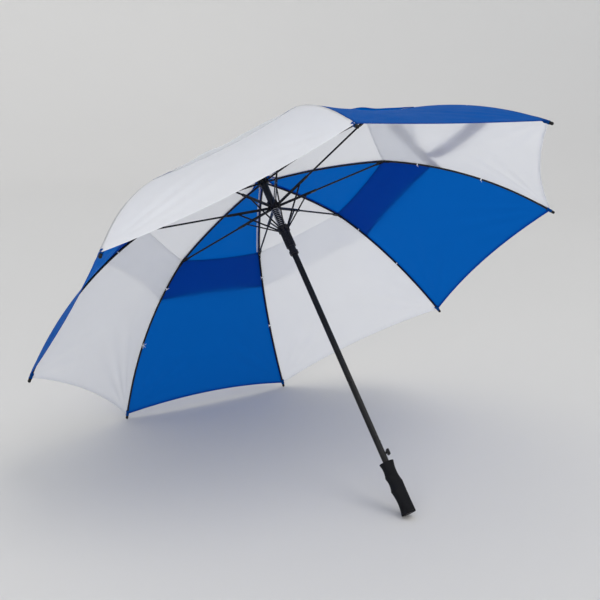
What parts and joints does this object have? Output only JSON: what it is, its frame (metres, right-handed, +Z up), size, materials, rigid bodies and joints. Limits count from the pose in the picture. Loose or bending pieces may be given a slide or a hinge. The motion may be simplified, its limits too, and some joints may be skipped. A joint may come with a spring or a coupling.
{
  "type": "golf umbrella",
  "caption": "Open golf umbrella with a vented two-layer canopy, folding ribs on two runners, push button and moulded grip.",
  "frame": {"origin": "middle of the bottom of the umbrella's box as it lies open on two rib tips and the end of its grip", "axes": "+Z up from the ground, -Y towards the grip's side, so the shaft leans in the plane X = 0, with its ferrule up; +X along the canopy's full width"},
  "size_m": [1.208, 0.9015, 0.8452],
  "materials": {
    "white_cloth": "fine plain-weave pongee, satin",
    "blue_cloth": "fine plain-weave pongee, satin",
    "rib_fibreglass": "satin pultruded fibreglass",
    "stretcher_black": "satin black enamel",
    "shaft_black": "semi-gloss black enamel",
    "runner_plastic": "moulded nylon",
    "latch_steel": "spring steel",
    "button_plastic": "semi-gloss",
    "spring_steel": "black oxide wire",
    "grip_rubber": "matte moulded rubber",
    "end_cap_plastic": "satin",
    "ferrule_black": "satin"
  },
  "bodies": {
    "frame": {"shaft_tube": "shaft_black", "crown": "runner_plastic", "stop_sleeve": "runner_plastic", "ferrule": "ferrule_black", "latch_spring": "latch_steel", "grip": "grip_rubber", "end_cap": "end_cap_plastic"},
    "inner_rib_1": {"rib_inner_1": "rib_fibreglass", "vent_panel_1": "white_cloth"},
    "outer_rib_1": {"rib_outer_1": "rib_fibreglass", "canopy_panel_1": "white_cloth"},
    "stretcher_1": {"stretcher_1": "stretcher_black"},
    "strut_1": {"strut_1": "stretcher_black"},
    "inner_rib_2": {"rib_inner_2": "rib_fibreglass", "vent_panel_2": "blue_cloth"},
    "outer_rib_2": {"rib_outer_2": "rib_fibreglass", "canopy_panel_2": "blue_cloth"},
    "stretcher_2": {"stretcher_2": "stretcher_black"},
    "strut_2": {"strut_2": "stretcher_black"},
    "inner_rib_3": {"rib_inner_3": "rib_fibreglass", "vent_panel_3": "white_cloth"},
    "outer_rib_3": {"rib_outer_3": "rib_fibreglass", "canopy_panel_3": "white_cloth"},
    "stretcher_3": {"stretcher_3": "stretcher_black"},
    "strut_3": {"strut_3": "stretcher_black"},
    "inner_rib_4": {"rib_inner_4": "rib_fibreglass", "vent_panel_4": "blue_cloth"},
    "outer_rib_4": {"rib_outer_4": "rib_fibreglass", "canopy_panel_4": "blue_cloth"},
    "stretcher_4": {"stretcher_4": "stretcher_black"},
    "strut_4": {"strut_4": "stretcher_black"},
    "inner_rib_5": {"rib_inner_5": "rib_fibreglass", "vent_panel_5": "white_cloth"},
    "outer_rib_5": {"rib_outer_5": "rib_fibreglass", "canopy_panel_5": "white_cloth"},
    "stretcher_5": {"stretcher_5": "stretcher_black"},
    "strut_5": {"strut_5": "stretcher_black"},
    "inner_rib_6": {"rib_inner_6": "rib_fibreglass", "vent_panel_6": "blue_cloth"},
    "outer_rib_6": {"rib_outer_6": "rib_fibreglass", "canopy_panel_6": "blue_cloth"},
    "stretcher_6": {"stretcher_6": "stretcher_black"},
    "strut_6": {"strut_6": "stretcher_black"},
    "inner_rib_7": {"rib_inner_7": "rib_fibreglass", "vent_panel_7": "white_cloth"},
    "outer_rib_7": {"rib_outer_7": "rib_fibreglass", "canopy_panel_7": "white_cloth", "closing_strap": "white_cloth"},
    "stretcher_7": {"stretcher_7": "stretcher_black"},
    "strut_7": {"strut_7": "stretcher_black"},
    "inner_rib_8": {"rib_inner_8": "rib_fibreglass", "vent_panel_8": "blue_cloth"},
    "outer_rib_8": {"rib_outer_8": "rib_fibreglass", "canopy_panel_8": "blue_cloth"},
    "stretcher_8": {"stretcher_8": "stretcher_black"},
    "strut_8": {"strut_8": "stretcher_black"},
    "upper_runner": {"upper_runner": "runner_plastic", "main_spring": "spring_steel"},
    "lower_runner": {"lower_runner": "runner_plastic"},
    "release_button": {"release_button": "button_plastic"}
  },
  "joints": [
    {"name": "canopy_fold", "type": "hinge", "parent": "frame", "child": "inner_rib_1", "pos_m": [0.01062, 0.20214, 0.62968], "axis": [-0.3827, 0.6791, -0.6264], "range_deg": [0, 77], "stiffness_Nm_per_rad": 3, "springref_deg": -45.84, "deforming": ["vent_panel_1", "vent_panel_2", "vent_panel_3", "vent_panel_4", "vent_panel_5", "vent_panel_6", "vent_panel_7", "vent_panel_8", "canopy_panel_1", "canopy_panel_2", "canopy_panel_3", "canopy_panel_4", "canopy_panel_5", "canopy_panel_6", "canopy_panel_7", "canopy_panel_8", "closing_strap"]},
    {"name": "rib_2_fold", "type": "hinge", "parent": "frame", "child": "inner_rib_2", "pos_m": [0.0044, 0.20671, 0.62546], "axis": [-0.9239, 0.2813, -0.2595], "range_deg": [0, 77]},
    {"name": "rib_3_fold", "type": "hinge", "parent": "frame", "child": "inner_rib_3", "pos_m": [-0.0044, 0.20671, 0.62546], "axis": [-0.9239, -0.2813, 0.2595], "range_deg": [0, 77]},
    {"name": "rib_4_fold", "type": "hinge", "parent": "frame", "child": "inner_rib_4", "pos_m": [-0.01062, 0.20214, 0.62968], "axis": [-0.3827, -0.6791, 0.6264], "range_deg": [0, 77]},
    {"name": "rib_5_fold", "type": "hinge", "parent": "frame", "child": "inner_rib_5", "pos_m": [-0.01062, 0.19567, 0.63565], "axis": [0.3827, -0.6791, 0.6264], "range_deg": [0, 77]},
    {"name": "rib_6_fold", "type": "hinge", "parent": "frame", "child": "inner_rib_6", "pos_m": [-0.0044, 0.19109, 0.63987], "axis": [0.9239, -0.2813, 0.2595], "range_deg": [0, 77]},
    {"name": "rib_7_fold", "type": "hinge", "parent": "frame", "child": "inner_rib_7", "pos_m": [0.0044, 0.19109, 0.63987], "axis": [0.9239, 0.2813, -0.2595], "range_deg": [0, 77]},
    {"name": "rib_8_fold", "type": "hinge", "parent": "frame", "child": "inner_rib_8", "pos_m": [0.01062, 0.19567, 0.63565], "axis": [0.3827, 0.6791, -0.6264], "range_deg": [0, 77]},
    {"name": "rib_1_unbend", "type": "hinge", "parent": "inner_rib_1", "child": "outer_rib_1", "pos_m": [0.28271, 0.2609, 0.52717], "axis": [-0.3827, 0.6791, -0.6264], "range_deg": [-22.51, 0]},
    {"name": "stretcher_1_swing", "type": "hinge", "parent": "inner_rib_1", "child": "stretcher_1", "pos_m": [0.28271, 0.2609, 0.52717], "axis": [-0.3827, 0.6791, -0.6264], "range_deg": [-154, 0]},
    {"name": "rib_2_unbend", "type": "hinge", "parent": "inner_rib_2", "child": "outer_rib_2", "pos_m": [0.1171, 0.38262, 0.41488], "axis": [-0.9239, 0.2813, -0.2595], "range_deg": [-22.51, 0]},
    {"name": "stretcher_2_swing", "type": "hinge", "parent": "inner_rib_2", "child": "stretcher_2", "pos_m": [0.1171, 0.38262, 0.41488], "axis": [-0.9239, 0.2813, -0.2595], "range_deg": [-154, 0]},
    {"name": "rib_3_unbend", "type": "hinge", "parent": "inner_rib_3", "child": "outer_rib_3", "pos_m": [-0.1171, 0.38262, 0.41488], "axis": [-0.9239, -0.2813, 0.2595], "range_deg": [-22.51, 0]},
    {"name": "stretcher_3_swing", "type": "hinge", "parent": "inner_rib_3", "child": "stretcher_3", "pos_m": [-0.1171, 0.38262, 0.41488], "axis": [-0.9239, -0.2813, 0.2595], "range_deg": [-154, 0]},
    {"name": "rib_4_unbend", "type": "hinge", "parent": "inner_rib_4", "child": "outer_rib_4", "pos_m": [-0.28271, 0.2609, 0.52717], "axis": [-0.3827, -0.6791, 0.6264], "range_deg": [-22.51, 0]},
    {"name": "stretcher_4_swing", "type": "hinge", "parent": "inner_rib_4", "child": "stretcher_4", "pos_m": [-0.28271, 0.2609, 0.52717], "axis": [-0.3827, -0.6791, 0.6264], "range_deg": [-154, 0]},
    {"name": "rib_5_unbend", "type": "hinge", "parent": "inner_rib_5", "child": "outer_rib_5", "pos_m": [-0.28271, 0.08876, 0.68597], "axis": [0.3827, -0.6791, 0.6264], "range_deg": [-22.51, 0]},
    {"name": "stretcher_5_swing", "type": "hinge", "parent": "inner_rib_5", "child": "stretcher_5", "pos_m": [-0.28271, 0.08876, 0.68597], "axis": [0.3827, -0.6791, 0.6264], "range_deg": [-154, 0]},
    {"name": "rib_6_unbend", "type": "hinge", "parent": "inner_rib_6", "child": "outer_rib_6", "pos_m": [-0.1171, -0.03296, 0.79826], "axis": [0.9239, -0.2813, 0.2595], "range_deg": [-22.51, 0]},
    {"name": "stretcher_6_swing", "type": "hinge", "parent": "inner_rib_6", "child": "stretcher_6", "pos_m": [-0.1171, -0.03296, 0.79826], "axis": [0.9239, -0.2813, 0.2595], "range_deg": [-154, 0]},
    {"name": "rib_7_unbend", "type": "hinge", "parent": "inner_rib_7", "child": "outer_rib_7", "pos_m": [0.1171, -0.03296, 0.79826], "axis": [0.9239, 0.2813, -0.2595], "range_deg": [-22.51, 0]},
    {"name": "stretcher_7_swing", "type": "hinge", "parent": "inner_rib_7", "child": "stretcher_7", "pos_m": [0.1171, -0.03296, 0.79826], "axis": [0.9239, 0.2813, -0.2595], "range_deg": [-154, 0]},
    {"name": "rib_8_unbend", "type": "hinge", "parent": "inner_rib_8", "child": "outer_rib_8", "pos_m": [0.28271, 0.08876, 0.68597], "axis": [0.3827, 0.6791, -0.6264], "range_deg": [-22.51, 0]},
    {"name": "stretcher_8_swing", "type": "hinge", "parent": "inner_rib_8", "child": "stretcher_8", "pos_m": [0.28271, 0.08876, 0.68597], "axis": [0.3827, 0.6791, -0.6264], "range_deg": [-154, 0]},
    {"name": "upper_runner_slide", "type": "hinge", "parent": "stretcher_1", "child": "upper_runner", "pos_m": [0.01062, 0.154, 0.57749], "axis": [-0.3827, 0.6791, -0.6264], "range_deg": [0, 77]},
    {"name": "lower_runner_slide", "type": "slide", "parent": "upper_runner", "child": "lower_runner", "axis": [0, 0.6781, 0.735], "range_m": [0, 0.03513], "deforming": ["main_spring"]},
    {"name": "strut_1_swing", "type": "hinge", "parent": "lower_runner", "child": "strut_1", "pos_m": [0.01136, 0.11218, 0.53171], "axis": [-0.3827, 0.6791, -0.6264], "range_deg": [-42.93, 0]},
    {"name": "strut_2_swing", "type": "hinge", "parent": "lower_runner", "child": "strut_2", "pos_m": [0.00471, 0.11707, 0.5272], "axis": [-0.9239, 0.2813, -0.2595], "range_deg": [-42.93, 0]},
    {"name": "strut_3_swing", "type": "hinge", "parent": "lower_runner", "child": "strut_3", "pos_m": [-0.00471, 0.11707, 0.5272], "axis": [-0.9239, -0.2813, 0.2595], "range_deg": [-42.93, 0]},
    {"name": "strut_4_swing", "type": "hinge", "parent": "lower_runner", "child": "strut_4", "pos_m": [-0.01136, 0.11218, 0.53171], "axis": [-0.3827, -0.6791, 0.6264], "range_deg": [-42.93, 0]},
    {"name": "strut_5_swing", "type": "hinge", "parent": "lower_runner", "child": "strut_5", "pos_m": [-0.01136, 0.10526, 0.5381], "axis": [0.3827, -0.6791, 0.6264], "range_deg": [-42.93, 0]},
    {"name": "strut_6_swing", "type": "hinge", "parent": "lower_runner", "child": "strut_6", "pos_m": [-0.00471, 0.10037, 0.54261], "axis": [0.9239, -0.2813, 0.2595], "range_deg": [-42.93, 0]},
    {"name": "strut_7_swing", "type": "hinge", "parent": "lower_runner", "child": "strut_7", "pos_m": [0.00471, 0.10037, 0.54261], "axis": [0.9239, 0.2813, -0.2595], "range_deg": [-42.93, 0]},
    {"name": "strut_8_swing", "type": "hinge", "parent": "lower_runner", "child": "strut_8", "pos_m": [0.01136, 0.10526, 0.5381], "axis": [0.3827, 0.6791, -0.6264], "range_deg": [-42.93, 0]},
    {"name": "button_press", "type": "slide", "parent": "frame", "child": "release_button", "axis": [-0.9063, 0.3106, -0.2866], "range_m": [0, 0.0025], "stiffness_N_per_m": 800}
  ],
  "couplings": [
    {"joint": "rib_2_fold", "follows": "canopy_fold", "ratio": 1},
    {"joint": "rib_3_fold", "follows": "canopy_fold", "ratio": 1},
    {"joint": "rib_4_fold", "follows": "canopy_fold", "ratio": 1},
    {"joint": "rib_5_fold", "follows": "canopy_fold", "ratio": 1},
    {"joint": "rib_6_fold", "follows": "canopy_fold", "ratio": 1},
    {"joint": "rib_7_fold", "follows": "canopy_fold", "ratio": 1},
    {"joint": "rib_8_fold", "follows": "canopy_fold", "ratio": 1},
    {"joint": "rib_1_unbend", "follows": "canopy_fold", "ratio": -0.29228},
    {"joint": "stretcher_1_swing", "follows": "canopy_fold", "ratio": -2},
    {"joint": "rib_2_unbend", "follows": "canopy_fold", "ratio": -0.29228},
    {"joint": "stretcher_2_swing", "follows": "canopy_fold", "ratio": -2},
    {"joint": "rib_3_unbend", "follows": "canopy_fold", "ratio": -0.29228},
    {"joint": "stretcher_3_swing", "follows": "canopy_fold", "ratio": -2},
    {"joint": "rib_4_unbend", "follows": "canopy_fold", "ratio": -0.29228},
    {"joint": "stretcher_4_swing", "follows": "canopy_fold", "ratio": -2},
    {"joint": "rib_5_unbend", "follows": "canopy_fold", "ratio": -0.29228},
    {"joint": "stretcher_5_swing", "follows": "canopy_fold", "ratio": -2},
    {"joint": "rib_6_unbend", "follows": "canopy_fold", "ratio": -0.29228},
    {"joint": "stretcher_6_swing", "follows": "canopy_fold", "ratio": -2},
    {"joint": "rib_7_unbend", "follows": "canopy_fold", "ratio": -0.29228},
    {"joint": "stretcher_7_swing", "follows": "canopy_fold", "ratio": -2},
    {"joint": "rib_8_unbend", "follows": "canopy_fold", "ratio": -0.29228},
    {"joint": "stretcher_8_swing", "follows": "canopy_fold", "ratio": -2},
    {"joint": "upper_runner_slide", "follows": "canopy_fold", "ratio": 1},
    {"joint": "lower_runner_slide", "follows": "canopy_fold", "m_per_rad": 0.026136},
    {"joint": "strut_1_swing", "follows": "canopy_fold", "ratio": -0.55756},
    {"joint": "strut_2_swing", "follows": "canopy_fold", "ratio": -0.55756},
    {"joint": "strut_3_swing", "follows": "canopy_fold", "ratio": -0.55756},
    {"joint": "strut_4_swing", "follows": "canopy_fold", "ratio": -0.55756},
    {"joint": "strut_5_swing", "follows": "canopy_fold", "ratio": -0.55756},
    {"joint": "strut_6_swing", "follows": "canopy_fold", "ratio": -0.55756},
    {"joint": "strut_7_swing", "follows": "canopy_fold", "ratio": -0.55756},
    {"joint": "strut_8_swing", "follows": "canopy_fold", "ratio": -0.55756}
  ]
}
